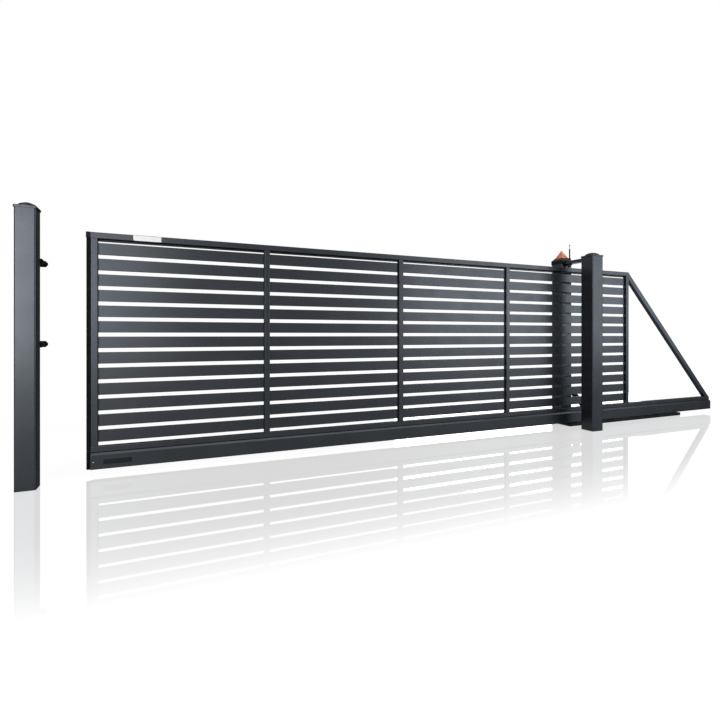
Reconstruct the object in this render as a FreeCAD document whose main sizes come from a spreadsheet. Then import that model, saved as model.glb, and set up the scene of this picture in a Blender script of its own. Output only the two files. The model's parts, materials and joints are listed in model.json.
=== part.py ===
import FreeCAD, Part
import math
import os
import Sketcher
from types import SimpleNamespace

# Sliding driveway gate on a cantilever track: a slatted leaf with a braced tail, two guide posts
# with an overhead guide arm, a receiving post with two catch forks, and the base that carries
# the leaf on wheels. Millimetres. X runs along the leaf, towards open; Y runs to the back;
# Z is up. The origin is on the ground, in the leaf's middle plane, midway between the guide posts.

# Driving dimensions, in one sheet: alias, value.
DRIVING_SIZES = (
    # Leaf frame and its slats.
    ("tube", 40.0),
    ("tube_radius", 4.0),
    ("slat_height", 75.0),
    ("slat_gap", 26.0),
    ("slat_depth", 20.0),
    ("slat_setback", 18.0),
    ("slat_end_gap", 24.5),
    ("slat_count", 13.0),
    ("bay_width", 1070.0),
    ("end_bay_width", 429.0),
    ("tail_length", 1343.0),
    ("brace_width", 48.0),
    ("brace_setback", 8.0),
    ("lead_reach", 4169.0),
    ("end_cap", 4.0),
    # Rubber profile on the leading edge.
    ("edge_depth", 25.0),
    ("edge_radius", 10.0),
    ("edge_cap_height", 35.0),
    ("edge_cap_overhang", 2.5),
    ("edge_cap_side", 2.0),
    # Track rail under the leaf and guide channel behind its top rail.
    ("ground_gap", 40.0),
    ("rail_height", 104.0),
    ("rail_width", 70.0),
    ("rail_wall", 4.0),
    ("rail_slot", 24.0),
    ("rail_slope_width", 15.0),
    ("rail_slope_height", 13.0),
    ("rail_cap", 10.0),
    ("rail_cap_edge", 4.0),
    ("rail_plug", 10.0),
    ("channel_width", 42.0),
    ("channel_wall", 3.0),
    ("channel_drop", 6.0),
    # Posts and their caps.
    ("guide_post", 134.0),
    ("receiving_post", 108.0),
    ("post_rise", 76.0),
    ("post_radius", 10.0),
    ("front_gap", 160.0),
    ("rear_gap", 70.0),
    ("receiver_clearance", 252.0),
    ("receiver_gap", 100.0),
    ("cap_overhang", 4.0),
    ("cap_rim", 14.0),
    ("cap_edge", 3.0),
    ("dome_height", 24.0),
    ("dome_border", 3.0),
    ("dome_slope", 20.0),
    ("dome_crown", 14.0),
    # Catch forks on the receiving post.
    ("lower_catch_level", 843.0),
    ("upper_catch_level", 1347.0),
    ("catch_height", 60.0),
    ("catch_plate", 8.0),
    ("catch_flange", 90.0),
    ("catch_past_leaf", 84.0),
    ("prong_radius", 20.0),
    ("prong_spacing", 98.0),
    ("prong_past_post", 8.0),
    ("prong_tip", 12.0),
    # Guide arm, hanger and roller over the leaf.
    ("arm_width", 80.0),
    ("arm_height", 29.0),
    ("arm_below_cap", 1.0),
    ("hanger_depth", 30.0),
    ("hanger_thickness", 12.0),
    ("hanger_foot", 16.0),
    ("roller_clearance", 5.0),
    ("roller_pin_radius", 6.0),
    # Warning lamp and aerial on the rear post.
    ("lamp_wall", 2.0),
    ("lamp_skirt", 22.0),
    ("lamp_body", 42.0),
    ("lamp_slope", 25.0),
    ("lamp_fit", 0.3),
    ("lens_side", 90.0),
    ("lens_height", 81.0),
    ("lens_tip", 3.0),
    ("lens_border", 2.0),
    ("aerial_inset", 14.0),
    ("aerial_boss", 16.0),
    ("aerial_radius", 6.5),
    ("aerial_whip_height", 93.0),
    ("aerial_rod_radius", 2.0),
    ("aerial_rod_height", 30.0),
    ("aerial_tip_radius", 5.0),
    ("aerial_tip_height", 12.0),
    # Base frame and knee brace.
    ("base_length", 1657.0),
    ("base_height", 30.0),
    ("beam_width", 70.0),
    ("cross_beam", 60.0),
    ("cross_beam_count", 3.0),
    ("beam_radius", 4.0),
    ("knee", 40.0),
    ("knee_reach", 420.0),
    # Wheel carriages inside the track rail.
    ("carriage_length", 300.0),
    ("carriage_foot", 4.0),
    ("carriage_foot_width", 60.0),
    ("carriage_web", 10.0),
    ("carriage_web_top", 20.0),
    ("carriage_web_slope", 30.0),
    ("first_carriage", 180.0),
    ("second_carriage", 1400.0),
    ("wheel_radius", 42.0),
    ("wheel_seat", 0.3),
    ("wheel_width", 11.0),
    ("wheel_side_gap", 2.0),
    ("wheel_spacing", 190.0),
    ("axle_radius", 8.0),
    ("axle_fit", 0.3),
)


class Size:
    """A length that carries both its number and the sheet expression that gives it."""

    def __init__(self, number, text):
        self.number = number
        self.text = text

    def joined(self, sign, other, number):
        return Size(number, "(%s %s %s)" % (self.text, sign, other.text))

    def __add__(self, other):
        other = as_size(other)
        return self.joined("+", other, self.number + other.number)

    def __sub__(self, other):
        other = as_size(other)
        return self.joined("-", other, self.number - other.number)

    def __mul__(self, other):
        other = as_size(other)
        return self.joined("*", other, self.number * other.number)

    def __truediv__(self, other):
        other = as_size(other)
        return self.joined("/", other, self.number / other.number)

    def __neg__(self):
        return ZERO - self


def as_size(value):
    """A Size as it is, or a plain number as a Size."""
    if isinstance(value, Size):
        return value
    return Size(float(value), "%.6f" % value)


def diagonal(width, height):
    """The slant length over a width and a height."""
    text = "sqrt(%s ^ 2 + %s ^ 2)" % (width.text, height.text)
    return Size(math.hypot(width.number, height.number), text)


ZERO = Size(0.0, "0")

os.makedirs("parts", exist_ok=True)
doc = FreeCAD.newDocument("sliding_gate")
sheet = doc.addObject("Spreadsheet::Sheet", "Sizes")
size = SimpleNamespace()
for row, (alias, number) in enumerate(DRIVING_SIZES, start=1):
    sheet.set("A%d" % row, alias)
    sheet.set("B%d" % row, str(number))
    sheet.setAlias("B%d" % row, alias)
    setattr(size, alias, Size(number, "Sizes." + alias))
doc.recompute()

subparts = []


# Levels and places that several pieces share.
half_tube = size.tube / 2
half_rail = size.rail_width / 2
half_post = size.guide_post / 2
rail_bottom = size.ground_gap
rail_top = rail_bottom + size.rail_height
sill_top = rail_top + size.tube
slat_pitch = size.slat_height + size.slat_gap
slat_stack = slat_pitch * size.slat_count - size.slat_gap
head_bottom = sill_top + size.slat_end_gap * 2 + slat_stack
leaf_top = head_bottom + size.tube
leaf_start = -size.lead_reach
bay_pitch = size.bay_width + size.tube
FULL_BAYS = 4
last_mullion = leaf_start + bay_pitch * FULL_BAYS
trailing_start = last_mullion + size.tube + size.end_bay_width
trailing_end = trailing_start + size.tube
leaf_end = trailing_end + size.tail_length
channel_bottom = head_bottom - size.channel_drop
channel_floor = channel_bottom + size.channel_wall
channel_front = half_tube
channel_back = half_tube + size.channel_width
channel_middle = half_tube + size.channel_width / 2
post_top = leaf_top + size.post_rise
cap_top = post_top + size.cap_rim
arm_top = post_top - size.arm_below_cap
arm_bottom = arm_top - size.arm_height
rear_post_middle = size.rear_gap + half_post
lamp_bottom = post_top - size.lamp_skirt
lamp_top = post_top + size.lamp_body
lamp_half = half_post + size.lamp_wall
base_start = -half_post
base_end = base_start + size.base_length
base_back = size.rear_gap + size.guide_post
beam_half = size.beam_width / 2
receiver_end = leaf_start - size.receiver_clearance
receiver_start = receiver_end - size.receiving_post
receiver_back = -size.receiver_gap
wheel_middle = rail_top - size.rail_wall - size.wheel_seat - size.wheel_radius


def bind(item, path, length):
    """Ties one property of an object to its expression in the sheet."""
    item.setExpression(path, length.text)


def new_body(label):
    """An empty body, listed as a sub-part under its label."""
    body = doc.addObject("PartDesign::Body", label)
    body.Label = label
    body.AllowCompound = True
    subparts.append(body)
    return body


def origin_feature(body, role):
    """A plane or an axis of a body's own origin."""
    return next(item for item in body.Origin.OriginFeatures if item.Role == role)


def sketch_on(body, role, offset, outlines=(), circles=()):
    """A sketch on an origin plane, moved along its normal, with closed outlines and circles."""
    sketch = body.newObject("Sketcher::SketchObject", "Profile")
    sketch.AttachmentSupport = (origin_feature(body, role), [""])
    sketch.MapMode = "FlatFace"
    bind(sketch, "AttachmentOffset.Base.z", offset)
    for outline in outlines:
        draw_outline(sketch, outline)
    for middle, radius in circles:
        draw_circle(sketch, middle, radius)
    return sketch


def fix_point(sketch, geometry, point, place):
    """Holds a point of a sketch at its two distances from the sketch's origin."""
    for kind, length in zip(("DistanceX", "DistanceY"), place):
        limit = Sketcher.Constraint(kind, -1, 1, geometry, point, length.number)
        index = sketch.addConstraint(limit)
        bind(sketch, "Constraints[%d]" % index, length)


def draw_outline(sketch, corners):
    """A closed outline of straight lines through its corners."""
    first = sketch.GeometryCount
    points = [FreeCAD.Vector(u.number, v.number, 0) for u, v in corners]
    for start, end in zip(points, points[1:] + points[:1]):
        sketch.addGeometry(Part.LineSegment(start, end), False)
    for index, place in enumerate(corners):
        following = first + (index + 1) % len(corners)
        sketch.addConstraint(Sketcher.Constraint("Coincident", first + index, 2, following, 1))
        fix_point(sketch, first + index, 1, place)


def draw_circle(sketch, middle, radius):
    """A circle about a point, with its radius tied to the sheet."""
    centre = FreeCAD.Vector(middle[0].number, middle[1].number, 0)
    circle = Part.Circle(centre, FreeCAD.Vector(0, 0, 1), radius.number)
    geometry = sketch.addGeometry(circle, False)
    fix_point(sketch, geometry, 3, middle)
    index = sketch.addConstraint(Sketcher.Constraint("Radius", geometry, radius.number))
    bind(sketch, "Constraints[%d]" % index, radius)


def across(plane, direction, start):
    """A plane's role, the direction across it, and where a span starts along its normal."""
    return SimpleNamespace(plane=plane, direction=FreeCAD.Vector(*direction), start=start)


ACROSS_X = across("YZ_Plane", (1, 0, 0), lambda low, high: low)
ACROSS_Y = across("XZ_Plane", (0, 1, 0), lambda low, high: -high)
ACROSS_Z = across("XY_Plane", (0, 0, 1), lambda low, high: low)


def pad(body, run, outlines, low, high):
    """A pad of outlines in a plane, from one place to another along its normal."""
    sketch = sketch_on(body, run.plane, run.start(low, high), outlines)
    feature = body.newObject("PartDesign::Pad", "Pad")
    feature.Profile = sketch
    bind(feature, "Length", high - low)
    body.Tip = feature
    return feature


def pocket(body, run, outlines, low, high, circles=()):
    """A pocket between two places along a plane's normal."""
    before = volume_of(body)
    sketch = sketch_on(body, run.plane, run.start(low, high), outlines, circles)
    feature = body.newObject("PartDesign::Pocket", "Pocket")
    feature.Profile = sketch
    feature.Reversed = True
    bind(feature, "Length", high - low)
    body.Tip = feature
    if volume_of(body) >= before:
        raise RuntimeError(body.Label + ": a pocket removed nothing")
    return feature


def volume_of(body):
    doc.recompute()
    return body.Shape.Volume


def edges_along(feature, direction):
    """The names of a feature's straight edges that run in a direction."""
    names = []
    for index, edge in enumerate(feature.Shape.Edges, start=1):
        if edge.Curve.TypeId != "Part::GeomLine":
            continue
        if abs(abs(edge.Curve.Direction.dot(direction)) - 1) < 1e-6:
            names.append("Edge%d" % index)
    return names


def edges_at(feature, axis, level):
    """The names of a feature's edges that lie wholly at one level along an axis."""
    names = []
    for index, edge in enumerate(feature.Shape.Edges, start=1):
        box = edge.BoundBox
        low = getattr(box, axis + "Min")
        high = getattr(box, axis + "Max")
        if abs(low - level.number) < 1e-3 and abs(high - level.number) < 1e-3:
            names.append("Edge%d" % index)
    return names


def round_edges(body, feature, names, radius):
    fillet = body.newObject("PartDesign::Fillet", "Rounding")
    fillet.Base = (feature, names)
    bind(fillet, "Radius", radius)
    body.Tip = fillet
    doc.recompute()
    return fillet


def bevel_edges(body, feature, names, width):
    chamfer = body.newObject("PartDesign::Chamfer", "Bevel")
    chamfer.Base = (feature, names)
    bind(chamfer, "Size", width)
    body.Tip = chamfer
    doc.recompute()
    return chamfer


def rectangle(first, second):
    """The four corners over two spans."""
    return (
        (first[0], second[0]),
        (first[1], second[0]),
        (first[1], second[1]),
        (first[0], second[1]),
    )


# Side of the 45-degree cut that just touches a corner's quarter round, for a radius of 1.
TANGENT_CUT = 2.0 - math.sqrt(2.0)


def cut_rectangle(first, second, cut):
    """The eight corners of a rectangle whose own corners are cut off."""
    low, high = first
    near, far = second
    return (
        (low + cut, near),
        (high - cut, near),
        (high, near + cut),
        (high, far - cut),
        (high - cut, far),
        (low + cut, far),
        (low, far - cut),
        (low, near + cut),
    )


def rounded_bar(label, run, first, second, low, high, radius):
    """A bar with its long edges rounded, as a rolled tube has them."""
    body = new_body(label)
    feature = pad(body, run, [rectangle(first, second)], low, high)
    doc.recompute()
    round_edges(body, feature, edges_along(feature, run.direction), radius)


def repeat(body, feature, role, length, count):
    """Copies of a feature, evenly spaced over a length along an axis of the body's origin."""
    pattern = body.newObject("PartDesign::LinearPattern", "Row")
    pattern.Originals = [feature]
    pattern.Direction = (origin_feature(body, role), [""])
    bind(pattern, "Length", length)
    bind(pattern, "Occurrences", as_size(count))
    body.Tip = pattern


def turned(body, role, axis, profile):
    """A solid of revolution about an axis of its sketch."""
    sketch = sketch_on(body, role, ZERO, [profile])
    feature = body.newObject("PartDesign::Revolution", "Turned")
    feature.Profile = sketch
    feature.ReferenceAxis = (sketch, [axis])
    feature.Angle = 360
    body.Tip = feature
    doc.recompute()
    return feature


def place(body, x, y, z):
    for axis, length in (("x", x), ("y", y), ("z", z)):
        bind(body, "Placement.Base." + axis, length)


def centred(middle, width):
    """The span of a width about a middle."""
    half = width / 2
    return (middle - half, middle + half)


def leaf_frame():
    """Top rail, bottom rail, stiles and mullions of the leaf, all of one tube."""
    depth = centred(ZERO, size.tube)
    along_leaf = (leaf_start, trailing_end)
    rounded_bar("top_rail", ACROSS_X, depth, (head_bottom, leaf_top), *along_leaf, size.tube_radius)
    rounded_bar("bottom_rail", ACROSS_X, depth, (rail_top, sill_top), leaf_start, leaf_end, size.tube_radius)
    uprights = [("leading_stile", leaf_start), ("trailing_stile", trailing_start)]
    for number in range(1, FULL_BAYS + 1):
        uprights.append(("mullion_%d" % number, leaf_start + bay_pitch * number))
    for label, start in uprights:
        width = (start, start + size.tube)
        rounded_bar(label, ACROSS_Z, width, depth, sill_top, head_bottom, size.tube_radius)
    cap = new_body("bottom_rail_end_cap")
    face = rectangle(depth, (rail_top, sill_top))
    feature = pad(cap, ACROSS_X, [face], leaf_end, leaf_end + size.end_cap)
    doc.recompute()
    bevel_edges(cap, feature, edges_along(feature, ACROSS_X.direction), size.tube_radius)


def slats():
    """The slats of each bay, between its two uprights and set back from the frame's front."""
    front = size.slat_setback - half_tube
    depth = (front, front + size.slat_depth)
    lowest = sill_top + size.slat_end_gap
    for number in range(1, FULL_BAYS + 2):
        start = leaf_start + size.tube + bay_pitch * (number - 1)
        end = start + size.bay_width if number <= FULL_BAYS else trailing_start
        body = new_body("slats_bay_%d" % number)
        section = rectangle(depth, (lowest, lowest + size.slat_height))
        slat = pad(body, ACROSS_X, [section], start, end)
        repeat(body, slat, "Z_Axis", slat_stack - size.slat_height, size.slat_count)


def rail_outer():
    """Outer corners of the track rail's section, from the bottom right round to the bottom left."""
    shoulder = half_rail - size.rail_slope_width
    slope_bottom = rail_top - size.rail_slope_height
    right = [(half_rail, rail_bottom), (half_rail, slope_bottom), (shoulder, rail_top)]
    left = [(-y, z) for y, z in reversed(right)]
    return right + left


def rail_inner():
    """Inner corners of that section, one wall in, in the same order."""
    wall = size.rail_wall
    slope = diagonal(size.rail_slope_width, size.rail_slope_height)
    inside = half_rail - wall
    drop = wall * (slope - size.rail_slope_height) / size.rail_slope_width
    inset = wall * (slope - size.rail_slope_width) / size.rail_slope_height
    slope_bottom = rail_top - size.rail_slope_height - drop
    shoulder = half_rail - size.rail_slope_width - inset
    right = [(inside, rail_bottom + wall), (inside, slope_bottom), (shoulder, rail_top - wall)]
    left = [(-y, z) for y, z in reversed(right)]
    return right + left


def track_rail():
    """The slotted rail that the leaf rolls on, with a plug at the front and a cap at the rear."""
    half_slot = size.rail_slot / 2
    lip_top = rail_bottom + size.rail_wall
    inner = rail_inner()
    section = rail_outer()
    section += [(-half_slot, rail_bottom), (-half_slot, lip_top)]
    section += list(reversed(inner))
    section += [(half_slot, lip_top), (half_slot, rail_bottom)]
    rail = new_body("track_rail")
    pad(rail, ACROSS_X, [section], leaf_start, leaf_end)

    plug = new_body("track_front_plug")
    pad(plug, ACROSS_X, [inner], leaf_start, leaf_start + size.rail_plug)

    cap = new_body("track_rear_cap")
    far = leaf_end + size.rail_cap
    feature = pad(cap, ACROSS_X, [rail_outer()], leaf_end, far)
    doc.recompute()
    bevel_edges(cap, feature, edges_at(feature, "X", far), size.rail_cap_edge)


def guide_channel():
    """The channel behind the top rail, open upwards, in which the guide roller runs."""
    wall = size.channel_wall
    section = (
        (channel_front, channel_bottom),
        (channel_back, channel_bottom),
        (channel_back, leaf_top),
        (channel_back - wall, leaf_top),
        (channel_back - wall, channel_floor),
        (channel_front + wall, channel_floor),
        (channel_front + wall, leaf_top),
        (channel_front, leaf_top),
    )
    pad(new_body("top_guide_channel"), ACROSS_X, [section], leaf_start, trailing_end)


def leading_edge():
    """The rubber profile down the leading edge, with its end cap."""
    front = leaf_start - size.edge_depth
    cap_bottom = leaf_top - size.edge_cap_height
    strip = new_body("leading_edge_strip")
    section = rectangle((front, leaf_start), centred(ZERO, size.tube))
    feature = pad(strip, ACROSS_Z, [section], rail_bottom, cap_bottom)
    doc.recompute()
    nose = set(edges_along(feature, ACROSS_Z.direction)) & set(edges_at(feature, "X", front))
    round_edges(strip, feature, sorted(nose), size.edge_radius)

    cap = new_body("leading_edge_cap")
    front = front - size.edge_cap_overhang
    section = rectangle((front, leaf_start), centred(ZERO, size.tube + size.edge_cap_side * 2))
    feature = pad(cap, ACROSS_Z, [section], cap_bottom, leaf_top)
    doc.recompute()
    nose = set(edges_along(feature, ACROSS_Z.direction)) & set(edges_at(feature, "X", front))
    round_edges(cap, feature, sorted(nose), size.edge_radius)


def tail_brace():
    """The slanting tube from the top of the trailing stile to the end of the tail."""
    top = leaf_top - size.brace_setback
    end = leaf_end - size.brace_setback
    rise = top - sill_top
    reach = end - trailing_end
    slant = diagonal(reach, rise)
    upright_cut = size.brace_width * slant / reach
    level_cut = size.brace_width * slant / rise
    outline = (
        (trailing_end, top),
        (trailing_end, top - upright_cut),
        (end - level_cut, sill_top),
        (end, sill_top),
    )
    pad(new_body("tail_brace"), ACROSS_Y, [outline], -half_tube, half_tube)


def post(label, width, depth, bottom):
    rounded_bar(label, ACROSS_Z, width, depth, bottom, post_top, size.post_radius)


def post_cap(label, width, depth):
    """A cap over a post: a rim that overhangs it and a low dome."""
    side = width[1] - width[0]
    rim_span = centred(ZERO, side + size.cap_overhang * 2)
    cap = new_body(label)
    rim_plan = cut_rectangle(rim_span, rim_span, size.post_radius * TANGENT_CUT)
    feature = pad(cap, ACROSS_Z, [rim_plan], post_top, cap_top)
    doc.recompute()
    bevel_edges(cap, feature, edges_at(feature, "Z", cap_top), size.cap_edge)
    add_dome(cap, side / 2 - size.dome_border, cap_top)
    place(cap, (width[0] + width[1]) / 2, (depth[0] + depth[1]) / 2, ZERO)


DOME_SIDES = 24


def add_dome(body, radius, bottom):
    """A low dome about the body's own Z axis: a many-sided disc, bevelled and bevelled again."""
    top = bottom + size.dome_height
    turns = [math.tau * side / DOME_SIDES for side in range(DOME_SIDES)]
    disc = [(radius * math.cos(turn), radius * math.sin(turn)) for turn in turns]
    feature = pad(body, ACROSS_Z, [disc], bottom, top)
    doc.recompute()
    for width in (size.dome_slope, size.dome_crown):
        feature = bevel_edges(body, feature, edges_at(feature, "Z", top), width)


def posts():
    guide_width = (-half_post, half_post)
    front_depth = (-size.front_gap - size.guide_post, -size.front_gap)
    rear_depth = (size.rear_gap, base_back)
    receiver_width = (receiver_start, receiver_end)
    receiver_depth = (receiver_back - size.receiving_post, receiver_back)
    post("front_guide_post", guide_width, front_depth, ZERO)
    post_cap("front_guide_post_cap", guide_width, front_depth)
    post("rear_guide_post", guide_width, rear_depth, size.base_height)
    post("receiving_post", receiver_width, receiver_depth, ZERO)
    post_cap("receiving_post_cap", receiver_width, receiver_depth)


def catches():
    """Two forks behind the receiving post: a bent plate with two rounded prongs each."""
    plate = size.catch_plate
    fork_face = receiver_start + plate
    outline = (
        (receiver_start, receiver_back),
        (receiver_start + size.catch_flange, receiver_back),
        (receiver_start + size.catch_flange, receiver_back + plate),
        (fork_face, receiver_back + plate),
        (fork_face, size.catch_past_leaf),
        (receiver_start, size.catch_past_leaf),
    )
    reach = receiver_end + size.prong_past_post - fork_face
    radius = size.prong_radius
    tip = size.prong_tip
    profile = ((ZERO, ZERO), (reach, ZERO), (reach, radius - tip), (reach - tip, radius), (ZERO, radius))
    levels = (("lower", size.lower_catch_level), ("upper", size.upper_catch_level))
    for name, level in levels:
        bracket = new_body(name + "_catch_bracket")
        pad(bracket, ACROSS_Z, [outline], *centred(level, size.catch_height))
        prongs = new_body(name + "_catch_prongs")
        prong = turned(prongs, "XY_Plane", "H_Axis", profile)
        repeat(prongs, prong, "Y_Axis", size.prong_spacing, 2)
        place(prongs, fork_face, -size.prong_spacing / 2, level)


def guide_arm():
    """The arm between the guide posts, with the hanger and the roller that steadies the leaf."""
    width = centred(ZERO, size.arm_width)
    rounded_bar("guide_arm", ACROSS_Y, width, (arm_bottom, arm_top), -size.front_gap, size.rear_gap,
                size.tube_radius)

    foot = size.hanger_foot / 2
    half_arm = size.arm_width / 2 - size.tube_radius
    hanger_bottom = arm_bottom - size.hanger_depth
    outline = (
        (-half_arm, arm_bottom),
        (-foot, hanger_bottom),
        (foot, hanger_bottom),
        (half_arm, arm_bottom),
    )
    depth = centred(channel_middle, size.hanger_thickness)
    pad(new_body("guide_roller_hanger"), ACROSS_Y, [outline], *depth)

    clear = size.roller_clearance
    radius = size.channel_width / 2 - size.channel_wall - clear
    pin = size.roller_pin_radius
    low = channel_floor + clear
    profile = (
        (ZERO, low),
        (radius, low),
        (radius, leaf_top),
        (pin, leaf_top),
        (pin, hanger_bottom),
        (ZERO, hanger_bottom),
    )
    roller = new_body("guide_roller")
    turned(roller, "XZ_Plane", "V_Axis", profile)
    place(roller, ZERO, channel_middle, ZERO)


def add_pyramid(body, bottom_side, top_side, height, y, z):
    """An upright cut pyramid with square ends, its axis at a place on the body's YZ plane."""
    pyramid = body.newObject("PartDesign::AdditiveWedge", "Pyramid")
    pyramid.Placement.Rotation = FreeCAD.Rotation(ACROSS_X.direction, 90)
    sides = {"X": bottom_side, "Z": bottom_side, "X2": top_side, "Z2": top_side}
    for name, side in sides.items():
        low, high = centred(ZERO, side)
        bind(pyramid, name + "min", low)
        bind(pyramid, name + "max", high)
    bind(pyramid, "Ymin", ZERO)
    bind(pyramid, "Ymax", height)
    bind(pyramid, "Placement.Base.y", y)
    bind(pyramid, "Placement.Base.z", z)
    body.Tip = pyramid


def warning_lamp():
    """The lamp that caps the rear post: a sloping housing with a skirt, a pyramid lens and an aerial."""
    width = (-lamp_half, lamp_half)
    depth = (rear_post_middle - lamp_half, rear_post_middle + lamp_half)
    slope_bottom = lamp_top - size.lamp_slope
    fit = half_post + size.lamp_fit
    aerial_x = half_post - size.aerial_inset
    aerial_y = size.rear_gap + size.aerial_inset
    housing = new_body("lamp_housing")
    pad(housing, ACROSS_Z, [rectangle(width, depth)], lamp_bottom, slope_bottom)
    shelf = size.lens_side + size.lens_border * 2
    add_pyramid(housing, lamp_half * 2, shelf, size.lamp_slope, rear_post_middle, slope_bottom)
    boss = rectangle(centred(aerial_x, size.aerial_boss), centred(aerial_y, size.aerial_boss))
    pad(housing, ACROSS_Z, [boss], slope_bottom, lamp_top)
    corner_cut = (size.post_radius + size.lamp_fit) * TANGENT_CUT
    recess = cut_rectangle((-fit, fit), centred(rear_post_middle, fit * 2), corner_cut)
    pocket(housing, ACROSS_Z, [recess], lamp_bottom, post_top)
    notch_half = size.arm_width / 2 + size.lamp_fit
    notch = rectangle((-notch_half, notch_half), (lamp_bottom, arm_top + size.lamp_fit))
    pocket(housing, ACROSS_Y, [notch], depth[0], size.rear_gap)

    lens = new_body("lamp_lens")
    add_pyramid(lens, size.lens_side, size.lens_tip, size.lens_height, rear_post_middle, lamp_top)

    aerial = new_body("aerial")
    whip_top = size.aerial_whip_height
    rod_top = whip_top + size.aerial_rod_height
    tip_top = rod_top + size.aerial_tip_height
    profile = (
        (ZERO, ZERO),
        (size.aerial_radius, ZERO),
        (size.aerial_radius, whip_top),
        (size.aerial_rod_radius, whip_top),
        (size.aerial_rod_radius, rod_top),
        (size.aerial_tip_radius, rod_top),
        (size.aerial_tip_radius, tip_top),
        (ZERO, tip_top),
    )
    turned(aerial, "XZ_Plane", "V_Axis", profile)
    place(aerial, aerial_x, aerial_y, lamp_top)


def base_frame():
    """The ground frame: two long beams, the seat of the rear post and the cross beams."""
    level = (ZERO, size.base_height)
    rear_start = base_back - size.beam_width
    beams = (("base_front_beam", (-beam_half, beam_half)), ("base_rear_beam", (rear_start, base_back)))
    for label, depth in beams:
        rounded_bar(label, ACROSS_X, depth, level, base_start, base_end, size.beam_radius)

    seat = new_body("rear_post_seat")
    pad(seat, ACROSS_Y, [rectangle((-half_post, half_post), level)], beam_half, rear_start)

    crosses = new_body("base_cross_beams")
    first = half_post + size.knee_reach - size.cross_beam / 2
    section = rectangle((first, first + size.cross_beam), level)
    cross = pad(crosses, ACROSS_Y, [section], beam_half, rear_start)
    repeat(crosses, cross, "X_Axis", base_end - size.cross_beam - first, size.cross_beam_count)


def knee_brace():
    """The strut between the rear post and the base frame, at 45 degrees."""
    cut = size.knee * math.sqrt(2.0)
    seat = size.base_height
    outline = (
        (half_post, seat + size.knee_reach),
        (half_post, seat + size.knee_reach - cut),
        (half_post + size.knee_reach - cut, seat),
        (half_post + size.knee_reach, seat),
    )
    middle = base_back - beam_half
    pad(new_body("knee_brace"), ACROSS_Y, [outline], *centred(middle, size.knee))


def carriage(number, middle):
    """A carriage on the base: an upright web through the rail's slot, with wheels on both sides."""
    half = size.carriage_length / 2
    foot_top = size.base_height + size.carriage_foot
    web_top = wheel_middle + size.carriage_web_top
    slope = size.carriage_web_slope
    frame = new_body("carriage_%d_frame" % number)
    foot_plan = rectangle((middle - half, middle + half), centred(ZERO, size.carriage_foot_width))
    pad(frame, ACROSS_Z, [foot_plan], size.base_height, foot_top)
    web = (
        (middle - half, foot_top),
        (middle + half, foot_top),
        (middle + half - slope, web_top),
        (middle - half + slope, web_top),
    )
    web_depth = centred(ZERO, size.carriage_web)
    pad(frame, ACROSS_Y, [web], *web_depth)
    bore = size.axle_radius + size.axle_fit
    axles = [((side, wheel_middle), bore) for side in centred(middle, size.wheel_spacing)]
    pocket(frame, ACROSS_Y, [], *web_depth, axles)

    inner = size.carriage_web / 2 + size.wheel_side_gap
    outer = inner + size.wheel_width
    axle = size.axle_radius
    rim = size.wheel_radius
    right = [(axle, inner), (rim, inner), (rim, outer), (ZERO, outer)]
    left = [(x, -y) for x, y in reversed(right)]
    wheels = new_body("carriage_%d_wheels" % number)
    pair = turned(wheels, "XY_Plane", "V_Axis", left + right)
    repeat(wheels, pair, "X_Axis", size.wheel_spacing, 2)
    place(wheels, middle - size.wheel_spacing / 2, ZERO, wheel_middle)


def write_parts():
    """Checks every object and every sub-part, then writes one file for each sub-part."""
    doc.recompute()
    for item in doc.Objects:
        if "Invalid" in item.State or "Error" in item.State:
            raise RuntimeError("%s failed: %s" % (item.Label, item.State))
    for item in subparts:
        if item.Shape.isNull() or not item.Shape.isValid() or not item.Shape.Solids:
            raise RuntimeError(item.Label + " has no valid solid")
    for item in subparts:
        item.Shape.exportStep("parts/%s.step" % item.Label)
        print(item.Label, len(item.Shape.Solids), round(item.Shape.Volume))


leaf_frame()
slats()
track_rail()
guide_channel()
leading_edge()
tail_brace()
posts()
catches()
guide_arm()
warning_lamp()
base_frame()
knee_brace()
carriage(1, size.first_carriage)
carriage(2, size.second_carriage)
write_parts()
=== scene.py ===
"""Finishes, small fittings, studio and camera of a cantilever sliding gate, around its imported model.

Lengths are metres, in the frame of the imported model: X along the leaf's travel, Z up.
The leaf's front faces -Y.
"""
import json
from math import cos, pi, radians, sin, tau

import bmesh
import bpy
from mathutils import Matrix, Vector


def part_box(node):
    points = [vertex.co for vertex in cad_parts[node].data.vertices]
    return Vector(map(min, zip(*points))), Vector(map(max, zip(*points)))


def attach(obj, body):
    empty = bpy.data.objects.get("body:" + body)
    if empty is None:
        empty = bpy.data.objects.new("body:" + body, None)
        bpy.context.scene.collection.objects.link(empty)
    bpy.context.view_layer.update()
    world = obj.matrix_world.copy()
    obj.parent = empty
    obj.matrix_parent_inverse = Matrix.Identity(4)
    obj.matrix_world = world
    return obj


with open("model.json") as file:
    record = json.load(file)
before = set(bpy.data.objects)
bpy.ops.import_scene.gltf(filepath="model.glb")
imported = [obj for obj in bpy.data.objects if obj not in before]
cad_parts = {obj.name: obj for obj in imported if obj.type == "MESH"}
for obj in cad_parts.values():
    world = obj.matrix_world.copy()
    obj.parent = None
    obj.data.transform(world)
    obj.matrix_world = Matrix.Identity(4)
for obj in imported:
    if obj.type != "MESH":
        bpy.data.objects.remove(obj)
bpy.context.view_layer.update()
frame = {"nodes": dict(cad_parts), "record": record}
NODES = frame["nodes"]

MM = 0.001

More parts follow.
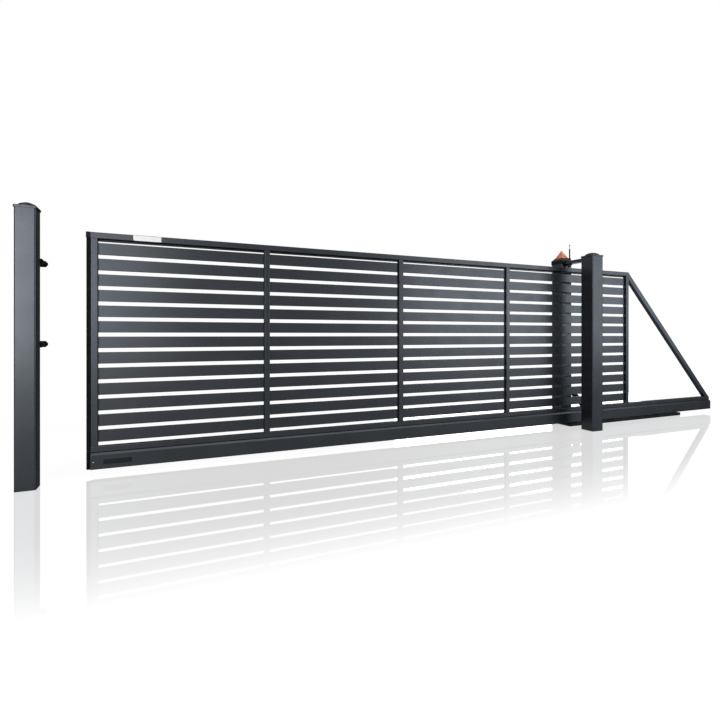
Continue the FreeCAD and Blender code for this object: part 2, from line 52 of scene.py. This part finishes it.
# Colours are linear RGB.
ANTHRACITE = (0.0275, 0.0304, 0.0346, 1)
ANTHRACITE_PALE = (0.031, 0.0343, 0.039, 1)
# The next two colours are painted shade: they darken the base beams for the shadow that falls under the
# track rail.
UNDER_RAIL_SHADE = (0.011, 0.012, 0.0135, 1)
UNDER_RAIL_SHADE_PALE = (0.013, 0.014, 0.0155, 1)
COAT_TINT = (0.27, 0.27, 0.27, 1)
RUBBER = (0.0022, 0.0022, 0.0022, 1)
RUBBER_WORN = (0.005, 0.005, 0.005, 1)
PLASTIC = (0.003, 0.003, 0.0035, 1)
PLASTIC_PALE = (0.005, 0.005, 0.0055, 1)
LENS = (0.36, 0.078, 0.012, 1)
LENS_PALE = (0.39, 0.092, 0.018, 1)
ZINC = (0.28, 0.29, 0.30, 1)
ZINC_PALE = (0.40, 0.41, 0.42, 1)
NYLON = (0.24, 0.24, 0.25, 1)
NYLON_PALE = (0.30, 0.30, 0.31, 1)
ENAMEL = (0.52, 0.525, 0.53, 1)
ENAMEL_AGED = (0.46, 0.465, 0.465, 1)
WHITE = (1, 1, 1, 1)

X_AXIS = Vector((1, 0, 0))
Y_AXIS = Vector((0, 1, 0))
Z_AXIS = Vector((0, 0, 1))


# Materials

# Where most of a texture's values lie, and the stretch over which one colour turns into another.
TEXTURE_LOW, TEXTURE_HIGH = 0.3, 0.7
BLEND_FROM, BLEND_TO = 0.35, 0.65


class Shader:
    """A material's node tree, with short calls to add nodes and link them."""

    def __init__(self, name):
        self.material = bpy.data.materials.new(name)
        self.material.use_nodes = True
        self.tree = self.material.node_tree
        self.surface = self.tree.nodes["Principled BSDF"]
        self.place = self.add("ShaderNodeTexCoord").outputs["Object"]

    def add(self, kind, values=None, **settings):
        node = self.tree.nodes.new(kind)
        for name, value in settings.items():
            setattr(node, name, value)
        for socket, value in (values or {}).items():
            node.inputs[socket].default_value = value
        return node

    def link(self, source, target):
        self.tree.links.new(source, target)

    def fixed(self, **values):
        """Sets numbers that hold for the whole surface on the shader's own sockets."""
        for name, value in values.items():
            self.surface.inputs[name.replace("_", " ")].default_value = value

    def stretched(self, scale):
        """Object coordinates, scaled differently along X, Y and Z."""
        mapping = self.add("ShaderNodeMapping", {"Scale": scale})
        self.link(self.place, mapping.inputs["Vector"])
        return mapping.outputs["Vector"]

    def noise(self, scale, detail, vector=None):
        node = self.add("ShaderNodeTexNoise", {"Scale": scale, "Detail": detail})
        self.link(vector or self.place, node.inputs["Vector"])
        return node.outputs["Fac"]

    def cells(self, scale):
        node = self.add("ShaderNodeTexVoronoi", {"Scale": scale})
        self.link(self.place, node.inputs["Vector"])
        return node.outputs["Distance"]

    def waves(self, scale, along, profile, distortion):
        """Parallel waves that follow each other along an axis."""
        node = self.add("ShaderNodeTexWave", {"Scale": scale, "Distortion": distortion},
                        wave_type="BANDS", bands_direction=along, wave_profile=profile)
        self.link(self.place, node.inputs["Vector"])
        return node.outputs["Fac"]

    def spread(self, value, low, high, from_low=TEXTURE_LOW, from_high=TEXTURE_HIGH):
        """Maps a value from one range to the range low to high."""
        node = self.add("ShaderNodeMapRange", {
            "From Min": from_low, "From Max": from_high, "To Min": low, "To Max": high})
        self.link(value, node.inputs["Value"])
        return node.outputs["Result"]

    def colours(self, value, first, second):
        ramp = self.add("ShaderNodeValToRGB")
        stops = ((BLEND_FROM, first), (BLEND_TO, second))
        for element, (position, colour) in zip(ramp.color_ramp.elements, stops):
            element.position = position
            element.color = colour
        self.link(value, ramp.inputs["Fac"])
        self.link(ramp.outputs["Color"], self.surface.inputs["Base Color"])

    def roughness(self, value, low, high):
        self.link(self.spread(value, low, high), self.surface.inputs["Roughness"])

    def bumps(self, *layers):
        """Each layer is a height texture, its depth in metres and its strength."""
        normal = None
        for height, depth, strength in layers:
            bump = self.add("ShaderNodeBump", {"Distance": depth, "Strength": strength})
            self.link(height, bump.inputs["Height"])
            if normal:
                self.link(normal, bump.inputs["Normal"])
            normal = bump.outputs["Normal"]
        self.link(normal, self.surface.inputs["Normal"])


def powder_coat(name, dark, pale, smoothest, roughest):
    """Satin powder coat: orange peel, a fine metallic grain and a faint cloudiness."""
    shader = Shader(name)
    orange_peel = shader.noise(scale=420, detail=2)
    grain = shader.noise(scale=1800, detail=1)
    shader.colours(shader.noise(scale=2.2, detail=4), dark, pale)
    shader.roughness(shader.noise(scale=7, detail=5), smoothest, roughest)
    shader.bumps((orange_peel, 0.12 * MM, 0.25), (grain, 0.03 * MM, 0.3))
    shader.fixed(Metallic=0.85, Specular_IOR_Level=0.0, Specular_Tint=COAT_TINT)
    return shader.material


def anthracite_paint():
    return powder_coat("anthracite_paint", ANTHRACITE, ANTHRACITE_PALE, smoothest=0.30, roughest=0.36)


# The base beams' darker coat is painted shade for the shadow under the track rail, and is rougher than
# the anthracite.
def base_painted_shade():
    return powder_coat("base_painted_shade", UNDER_RAIL_SHADE, UNDER_RAIL_SHADE_PALE, smoothest=0.52, roughest=0.60)


def black_rubber():
    """Matt moulded rubber with upright flow lines."""
    shader = Shader("black_rubber")
    flow_lines = shader.noise(scale=1, detail=2, vector=shader.stretched((700, 700, 6)))
    grain = shader.noise(scale=1500, detail=2)
    shader.colours(shader.noise(scale=30, detail=4), RUBBER, RUBBER_WORN)
    shader.roughness(shader.noise(scale=55, detail=4), low=0.62, high=0.78)
    shader.bumps((flow_lines, 0.2 * MM, 0.3), (grain, 0.05 * MM, 0.4))
    shader.fixed(Specular_IOR_Level=0.03)
    return shader.material


def black_plastic():
    """Moulded black plastic with a fine leather-like grain."""
    shader = Shader("black_plastic")
    grain = shader.cells(scale=900)
    shader.colours(shader.noise(scale=25, detail=3), PLASTIC, PLASTIC_PALE)
    shader.roughness(shader.noise(scale=60, detail=3), low=0.42, high=0.54)
    shader.bumps((grain, 0.08 * MM, 0.35))
    shader.fixed(Specular_IOR_Level=0.05)
    return shader.material


def orange_lens():
    """Orange lamp lens, faintly see-through, with fine prism ribs running round it."""
    shader = Shader("orange_lens")
    ribs = shader.waves(scale=95, along="Z", profile="TRI", distortion=0.0)
    shader.colours(shader.noise(scale=18, detail=2), LENS, LENS_PALE)
    shader.roughness(shader.noise(scale=40, detail=2), low=0.26, high=0.32)
    shader.bumps((ribs, 0.2 * MM, 0.12))
    shader.fixed(Transmission_Weight=0.06, IOR=1.49, Coat_Weight=0.03, Specular_IOR_Level=0.12)
    return shader.material


def zinc_plated_steel():
    """Zinc plating with its soft crystal spangle and handling marks."""
    shader = Shader("zinc_plated_steel")
    handling_marks = shader.noise(scale=900, detail=3)
    shader.colours(shader.cells(scale=260), ZINC, ZINC_PALE)
    shader.roughness(shader.noise(scale=120, detail=4), low=0.28, high=0.44)
    shader.bumps((handling_marks, 0.04 * MM, 0.3))
    shader.fixed(Metallic=0.95)
    return shader.material


def grey_nylon():
    """Machined nylon with fine ridges."""
    shader = Shader("grey_nylon")
    ridges = shader.waves(scale=420, along="Y", profile="SIN", distortion=0.4)
    shader.colours(shader.noise(scale=60, detail=3), NYLON, NYLON_PALE)
    shader.roughness(shader.noise(scale=90, detail=3), low=0.40, high=0.52)
    shader.bumps((ridges, 0.06 * MM, 0.3))
    return shader.material


def pale_enamel():
    """Stoved enamel with a slight cloud, for the pale plate."""
    shader = Shader("pale_enamel")
    unevenness = shader.noise(scale=700, detail=2)
    shader.colours(shader.noise(scale=28, detail=4), ENAMEL_AGED, ENAMEL)
    shader.roughness(shader.noise(scale=80, detail=3), low=0.34, high=0.46)
    shader.bumps((unevenness, 0.04 * MM, 0.2))
    return shader.material


FINISHES = {make.__name__: make() for make in (
    anthracite_paint, black_rubber, black_plastic, orange_lens, zinc_plated_steel, grey_nylon)}
PALE_ENAMEL = pale_enamel()
BASE_PAINTED_SHADE_COAT = base_painted_shade()


def dress(obj, material):
    """Makes a material an object's only one."""
    obj.data.materials.clear()
    obj.data.materials.append(material)


# Pieces made in mesh code

def new_piece(name, mesh, body, slot, material=None):
    """Turns a bmesh into an object that rides on a body; its finish is the slot's or one of its own."""
    data = bpy.data.meshes.new(name)
    bmesh.ops.recalc_face_normals(mesh, faces=mesh.faces)
    mesh.to_mesh(data)
    mesh.free()
    obj = bpy.data.objects.new(name, data)
    bpy.context.scene.collection.objects.link(obj)
    dress(obj, material or FINISHES[slot])
    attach(obj, body)


def facing(origin, normal):
    """A placement whose local Z points along normal."""
    turn = Z_AXIS.rotation_difference(Vector(normal)).to_matrix().to_4x4()
    return Matrix.Translation(Vector(origin)) @ turn


def front_placement(x, y, z):
    """A placement on a face that looks to the front: local X runs along +X and local Y up."""
    return Matrix(((1, 0, 0, x), (0, 0, -1, y), (0, 1, 0, z), (0, 0, 0, 1)))


# Turned fittings

WASHER_SIDES = 24
HEXAGON_SIDES = 6
SCREW_SIDES = 20

# Profiles are points of (radius, height), in shares of the size that a fitting is made to.
# A bolt's size is the width across its flats, and a screw's is its head's radius.
WASHER_RADIUS, WASHER_TOP = 0.98, 0.13
WASHER_PROFILE = (
    (0, 0),
    (WASHER_RADIUS, 0),
    (WASHER_RADIUS, 0.80 * WASHER_TOP),
    (0.96 * WASHER_RADIUS, WASHER_TOP),
    (0, WASHER_TOP),
)
HEXAGON_CORNER, HEXAGON_TOP = 0.5 / cos(pi / HEXAGON_SIDES), 0.62
HEXAGON_PROFILE = (
    (0, WASHER_TOP),
    (HEXAGON_CORNER, WASHER_TOP),
    (HEXAGON_CORNER, 0.84 * HEXAGON_TOP),
    (0.47, HEXAGON_TOP),
    (0, HEXAGON_TOP),
)
SCREW_PROFILE = (
    (0, 0), (1, 0), (1, 0.22), (0.86, 0.48), (0.55, 0.62), (0.42, 0.62), (0.36, 0.26), (0, 0.22))


def lathe(mesh, profile, size, placement, sides):
    """Turns a profile, times a size, round the placement's local Z."""
    rings = []
    for radius, height in profile:
        level = height * size
        if radius == 0:
            rings.append([mesh.verts.new(placement @ Vector((0, 0, level)))])
            continue
        reach = radius * size
        angles = [tau * k / sides for k in range(sides)]
        points = [Vector((reach * cos(angle), reach * sin(angle), level)) for angle in angles]
        rings.append([mesh.verts.new(placement @ point) for point in points])
    for lower, upper in zip(rings, rings[1:]):
        for k in range(sides):
            following = (k + 1) % sides
            corners = [lower[k % len(lower)], lower[following % len(lower)],
                       upper[following % len(upper)], upper[k % len(upper)]]
            mesh.faces.new(list(dict.fromkeys(corners)))


def hex_bolt(mesh, placement, across_flats):
    """A washer and a hexagon head whose corners are chamfered on top."""
    lathe(mesh, WASHER_PROFILE, across_flats, placement, WASHER_SIDES)
    lathe(mesh, HEXAGON_PROFILE, across_flats, placement, HEXAGON_SIDES)


def pan_screw(mesh, placement, radius):
    """A low domed screw head with a round socket."""
    lathe(mesh, SCREW_PROFILE, radius, placement, SCREW_SIDES)


def fittings(name, body, slot, placements, make, size):
    """Several equal fittings as one piece."""
    mesh = bmesh.new()
    for placement in placements:
        make(mesh, placement, size)
    new_piece(name, mesh, body, slot)


PLUG_SCREW_FROM_END = 16 * MM
PLUG_SCREW_LEVEL = 48 * MM
PLUG_SCREW_RADIUS = 3.4 * MM
CATCH_BOLTS_FROM_END = (18 * MM, 50 * MM)
CATCH_BOLT_FLATS = 15 * MM
PRONG_SCREW_RADIUS = 5.5 * MM
HANGER_NUT_FLATS = 17 * MM


def rail_screw():
    """The screw that holds the plug in the track rail's leading end."""
    low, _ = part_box("track_rail")
    place = facing((low.x + PLUG_SCREW_FROM_END, low.y, low.z + PLUG_SCREW_LEVEL), -Y_AXIS)
    fittings("track_plug_screw", "leaf", "zinc_plated_steel", [place], pan_screw, PLUG_SCREW_RADIUS)


def catch_fixings():
    """Bolts that hold the catch brackets to the receiving post, and screws behind their prongs."""
    bolts, screws = [], []
    _, post_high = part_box("receiving_post")
    for level in ("lower", "upper"):
        bracket_low, bracket_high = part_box(level + "_catch_bracket")
        prong_low, prong_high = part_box(level + "_catch_prongs")
        middle = (bracket_low.z + bracket_high.z) / 2
        prong_radius = (prong_high.z - prong_low.z) / 2
        plate = prong_low.x - bracket_low.x
        bolts += [facing((bracket_high.x - from_end, post_high.y + plate, middle), Y_AXIS)
                  for from_end in CATCH_BOLTS_FROM_END]
        screws += [facing((bracket_low.x, y, middle), -X_AXIS)
                   for y in (prong_low.y + prong_radius, prong_high.y - prong_radius)]
    fittings("catch_bolts", "fixed_frame", "zinc_plated_steel", bolts, hex_bolt, CATCH_BOLT_FLATS)
    fittings("catch_prong_screws", "fixed_frame", "zinc_plated_steel", screws, pan_screw,
             PRONG_SCREW_RADIUS)


def arm_fixings():
    """The nut on top of the guide arm that holds the roller's hanger."""
    hanger_low, hanger_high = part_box("guide_roller_hanger")
    _, arm_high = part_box("guide_arm")
    middle = (hanger_low + hanger_high) / 2
    place = facing((middle.x, middle.y, arm_high.z), Z_AXIS)
    fittings("hanger_nut", "fixed_frame", "anthracite_paint", [place], hex_bolt, HANGER_NUT_FLATS)


# Plates, and a dark strip of painted shade

CORNER_STEPS = 6
SMALLEST_CORNER = 0.2 * MM
EDGE_SHARE, EDGE_LIMIT = 0.3, 0.5 * MM
RIM_WIDTH = 1.6 * MM

TRACK_PLATE_FROM_END = 156 * MM
TRACK_PLATE_LEVEL = 45 * MM
TRACK_PLATE = dict(length=165 * MM, height=30 * MM, depth=1.6 * MM, corner=2 * MM, dish=0.9 * MM)
TOP_PLATE_FROM_END = 331 * MM
TOP_PLATE = dict(length=170 * MM, height=34 * MM, depth=0.8 * MM, corner=2.5 * MM)
# The joint strip's sizes: a thin dark band of painted shade for the shadow on the ledge between bottom
# rail and track rail.
SHADE_STRIP_HEIGHT = 5 * MM
SHADE_STRIP_DEPTH = 0.8 * MM
SHADE_STRIP_CORNER = 1 * MM


def rounded_plate(mesh, placement, length, height, depth, corner, dish=0.0):
    """A plate with rounded corners; dish sinks its middle, which leaves a raised rim."""

    def ring(inset, level):
        radius = max(corner - inset, SMALLEST_CORNER)
        across, up = length / 2 - corner, height / 2 - corner
        points = []
        for quarter, (side, end) in enumerate(((1, 1), (-1, 1), (-1, -1), (1, -1))):
            middle = Vector((side * across, end * up, level))
            for step in range(CORNER_STEPS + 1):
                angle = (quarter + step / CORNER_STEPS) * pi / 2
                points.append(middle + radius * Vector((cos(angle), sin(angle), 0)))
        return [mesh.verts.new(placement @ point) for point in points]

    edge = min(EDGE_SHARE * depth, EDGE_LIMIT)
    rings = [ring(0, 0), ring(0, depth - edge), ring(edge, depth)]
    if dish:
        rings += [ring(RIM_WIDTH, depth), ring(RIM_WIDTH + dish, depth - dish)]
    mesh.faces.new(rings[0][::-1])
    for lower, upper in zip(rings, rings[1:]):
        for k in range(len(lower)):
            following = (k + 1) % len(lower)
            mesh.faces.new((lower[k], lower[following], upper[following], upper[k]))
    mesh.faces.new(rings[-1])


def rail_plates():
    """Blank plates where the leaf's rails carry plates."""
    track_low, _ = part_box("track_rail")
    top_low, top_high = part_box("top_rail")
    dished = bmesh.new()
    rounded_plate(dished, front_placement(track_low.x + TRACK_PLATE_FROM_END, track_low.y,
                                          track_low.z + TRACK_PLATE_LEVEL), **TRACK_PLATE)
    # The track plate wears the base's darker coat for its own dark tone.
    new_piece("track_rail_plate", dished, "leaf", "anthracite_paint", BASE_PAINTED_SHADE_COAT)
    flat = bmesh.new()
    rounded_plate(flat, front_placement(top_low.x + TOP_PLATE_FROM_END, top_low.y,
                                        (top_low.z + top_high.z) / 2), **TOP_PLATE)
    new_piece("top_rail_plate", flat, "leaf", "zinc_plated_steel", PALE_ENAMEL)


def rail_joint_painted_shade():
    """A dark strip in the joint between the leaf's bottom rail and its track rail, front and back:
    painted shade for the shadowed ledge there.
    """
    low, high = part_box("bottom_rail")
    mesh = bmesh.new()
    for face, turn in ((low.y, 0), (high.y, pi)):
        placement = front_placement((low.x + high.x) / 2, face, low.z + SHADE_STRIP_HEIGHT / 2)
        rounded_plate(mesh, placement @ Matrix.Rotation(turn, 4, "Y"), length=high.x - low.x,
                      height=SHADE_STRIP_HEIGHT, depth=SHADE_STRIP_DEPTH, corner=SHADE_STRIP_CORNER)
    new_piece("rail_joint_shade_strip", mesh, "leaf", "black_rubber")


rail_plates()
rail_joint_painted_shade()
rail_screw()
catch_fixings()
arm_fixings()


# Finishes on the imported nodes

WELD_DISTANCE = 0.02 * MM
FINE_EDGE = 1.2 * MM
PRONG_EDGE = 7.5 * MM
CAP_EDGE = 2.5 * MM
LAMP_EDGE = 2.5 * MM

BASE_NODES = ("base_front_beam", "base_rear_beam", "base_cross_beams", "rear_post_seat")
FINE_EDGED = [
    "tail_brace", "knee_brace", "guide_roller_hanger", "rear_post_seat", "base_cross_beams",
    "lower_catch_bracket", "upper_catch_bracket", "lamp_lens", "track_front_plug",
    "track_rear_cap", "bottom_rail_end_cap", "leading_edge_cap", "guide_arm", "track_rail",
    "top_guide_channel",
]
FINE_EDGED += [name for name in NODES if name.startswith("slats_bay_")]


def soften_edges(name, width, segments=2, sharper_than=40):
    """Rounds a node's edges sharper than an angle in its look; its mesh stays as it is."""
    weld = NODES[name].modifiers.new("weld", "WELD")
    weld.merge_threshold = WELD_DISTANCE
    bevel = NODES[name].modifiers.new("bevel", "BEVEL")
    bevel.width = width
    bevel.segments = segments
    bevel.limit_method = "ANGLE"
    bevel.angle_limit = radians(sharper_than)
    bevel.harden_normals = True


for part in frame["record"]["subparts"]:
    dress(NODES[part["node"]], FINISHES[part["material_slot"]])
# The base beams wear the darker coat, painted shade for the shadow under the track rail.
for name in BASE_NODES:
    dress(NODES[name], BASE_PAINTED_SHADE_COAT)
for name in FINE_EDGED:
    soften_edges(name, FINE_EDGE)
for name in ("lower_catch_prongs", "upper_catch_prongs"):
    soften_edges(name, PRONG_EDGE, segments=5, sharper_than=25)
for name in ("front_guide_post_cap", "receiving_post_cap"):
    soften_edges(name, CAP_EDGE, segments=2, sharper_than=12)
soften_edges("lamp_housing", LAMP_EDGE, segments=3, sharper_than=25)


# Studio

SOFT_LIGHT = 0.25

FLOOR_SIZE = 80.0
FLOOR_DROP = 0.4 * MM
FLOOR_COLOUR = (0.09, 0.09, 0.09, 1)

# The floor's glow and its polish change with the distance from the gate's middle plane.
GLOW_NEAR, GLOW_FAR = 0.91, 1.0
GLOW_NEAR_TO, GLOW_FAR_FROM = 1.8, 7.0
MIRROR_SHARE = 0.32
MIRROR_FULL_TO, MIRROR_GONE_AT = 0.4, 1.70
MIRROR_FADE_POWER = 3.5
MIRROR_ROUGHNESS = 0.03

# Each softbox: name, place, aim, width, height and radiance, where a radiance of 1 is white.
SOFTBOXES = (
    ("left_softbox", (-6.9, -5.0, 1.9), (-5.9, 0, 1.9), 2.2, 3.0, 15.0),
    ("left_fill", (-4.9, -5.0, 1.9), (-4.9, 0, 1.9), 1.8, 3.0, 4.8),
    ("right_softbox", (5.9, -5.0, 1.9), (1.9, 0, 1.9), 9.0, 3.0, 6.7),
    ("top_left_softbox", (-1.8, -0.85, 4.6), (-1.8, -0.6, 0), 8.8, 1.5, 4.2),
    ("top_right_softbox", (6.2, -0.85, 4.6), (6.2, -0.6, 0), 7.2, 1.5, 6.6),
    ("back_softbox", (0.5, 6.5, 6.3), (0.5, 0, 1.2), 9.0, 4.0, 2.0),
    ("rear_softbox", (5.0, 6.5, 1.9), (1.5, 0, 1.9), 6.5, 3.0, 5.0),
)

# The camera looks level, with its view shifted instead of tilted. Sensor and focal length are in
# millimetres, and the shift is a share of the sensor's width.
CAMERA_PLACE = (-3.732, -3.408, 0.902)
CAMERA_LEVEL, CAMERA_HEADING = radians(90), radians(-22.9)
SENSOR_WIDTH, FOCAL_LENGTH = 36, 23.1
VIEW_SHIFT = -0.0352


def seen_directly(tree):
    """1 for camera, mirror and see-through rays, 0 for the rays that carry soft light."""
    rays = tree.nodes.new("ShaderNodeLightPath")
    total = rays.outputs["Is Camera Ray"]
    for kind in ("Is Glossy Ray", "Is Transmission Ray"):
        larger = tree.nodes.new("ShaderNodeMath")
        larger.operation = "MAXIMUM"
        tree.links.new(total, larger.inputs[0])
        tree.links.new(rays.outputs[kind], larger.inputs[1])
        total = larger.outputs["Value"]
    return total


def white_world(soft_light):
    """White to look at, and a soft even light of the given strength on the object."""
    world = bpy.data.worlds.new("studio")
    world.use_nodes = True
    bpy.context.scene.world = world
    tree = world.node_tree
    light = tree.nodes["Background"]
    light.inputs["Color"].default_value = WHITE
    light.inputs["Strength"].default_value = soft_light
    backdrop = tree.nodes.new("ShaderNodeBackground")
    backdrop.inputs["Color"].default_value = WHITE
    backdrop.inputs["Strength"].default_value = 1.0
    mix = tree.nodes.new("ShaderNodeMixShader")
    tree.links.new(seen_directly(tree), mix.inputs["Fac"])
    tree.links.new(light.outputs["Background"], mix.inputs[1])
    tree.links.new(backdrop.outputs["Background"], mix.inputs[2])
    tree.links.new(mix.outputs["Shader"], tree.nodes["World Output"].inputs["Surface"])


def floor_material():
    """White floor that keeps soft shadows, with a polish that the camera sees near the gate."""
    shader = Shader("floor")
    tree = shader.tree
    tree.nodes.remove(shader.surface)

    def calculate(operation, first, second=None):
        node = shader.add("ShaderNodeMath", operation=operation)
        shader.link(first, node.inputs[0])
        if isinstance(second, float):
            node.inputs[1].default_value = second
        elif second:
            shader.link(second, node.inputs[1])
        return node.outputs["Value"]

    axes = shader.add("ShaderNodeSeparateXYZ")
    shader.link(shader.place, axes.inputs["Vector"])
    distance = calculate("ABSOLUTE", axes.outputs["Y"])
    level = shader.spread(distance, GLOW_NEAR, GLOW_FAR, GLOW_NEAR_TO, GLOW_FAR_FROM)
    glow = shader.add("ShaderNodeEmission", {"Color": WHITE})
    shader.link(calculate("MULTIPLY", level, seen_directly(tree)), glow.inputs["Strength"])
    matt = shader.add("ShaderNodeBsdfDiffuse", {"Color": FLOOR_COLOUR})
    paper = shader.add("ShaderNodeAddShader")
    shader.link(glow.outputs["Emission"], paper.inputs[0])
    shader.link(matt.outputs["BSDF"], paper.inputs[1])
    mirror = shader.add("ShaderNodeBsdfGlossy", {"Color": WHITE, "Roughness": MIRROR_ROUGHNESS})
    away = shader.spread(distance, 0.0, 1.0, MIRROR_FULL_TO, MIRROR_GONE_AT)
    fade = calculate("POWER", away, MIRROR_FADE_POWER)
    share = shader.spread(fade, MIRROR_SHARE, 0.0, 0.0, 1.0)
    rays = shader.add("ShaderNodeLightPath")
    mix = shader.add("ShaderNodeMixShader")
    shader.link(calculate("MULTIPLY", share, rays.outputs["Is Camera Ray"]), mix.inputs["Fac"])
    shader.link(paper.outputs["Shader"], mix.inputs[1])
    shader.link(mirror.outputs["BSDF"], mix.inputs[2])
    shader.link(mix.outputs["Shader"], tree.nodes["Material Output"].inputs["Surface"])
    return shader.material


def floor():
    """A wide sheet just under the gate's feet."""
    mesh = bmesh.new()
    bmesh.ops.create_grid(mesh, x_segments=1, y_segments=1, size=FLOOR_SIZE / 2)
    data = bpy.data.meshes.new("floor")
    mesh.to_mesh(data)
    mesh.free()
    obj = bpy.data.objects.new("floor", data)
    obj.location.z = -FLOOR_DROP
    bpy.context.scene.collection.objects.link(obj)
    dress(obj, floor_material())


def softbox(name, place, aim, width, height, radiance):
    """A rectangular soft light that the camera doesn't see."""
    data = bpy.data.lights.new(name, "AREA")
    data.shape = "RECTANGLE"
    data.size = width
    data.size_y = height
    data.energy = radiance * pi * width * height
    obj = bpy.data.objects.new(name, data)
    obj.location = place
    obj.rotation_euler = (Vector(aim) - Vector(place)).to_track_quat("-Z", "Y").to_euler()
    obj.visible_camera = False
    bpy.context.scene.collection.objects.link(obj)


def camera():
    """The photo's view."""
    data = bpy.data.cameras.new("camera")
    data.sensor_width = SENSOR_WIDTH
    data.lens = FOCAL_LENGTH
    data.shift_y = VIEW_SHIFT
    obj = bpy.data.objects.new("camera", data)
    obj.location = CAMERA_PLACE
    obj.rotation_euler = (CAMERA_LEVEL, 0, CAMERA_HEADING)
    bpy.context.scene.collection.objects.link(obj)
    bpy.context.scene.camera = obj


white_world(SOFT_LIGHT)
floor()
for settings in SOFTBOXES:
    softbox(*settings)
camera()
bpy.context.scene.view_settings.view_transform = "Standard"
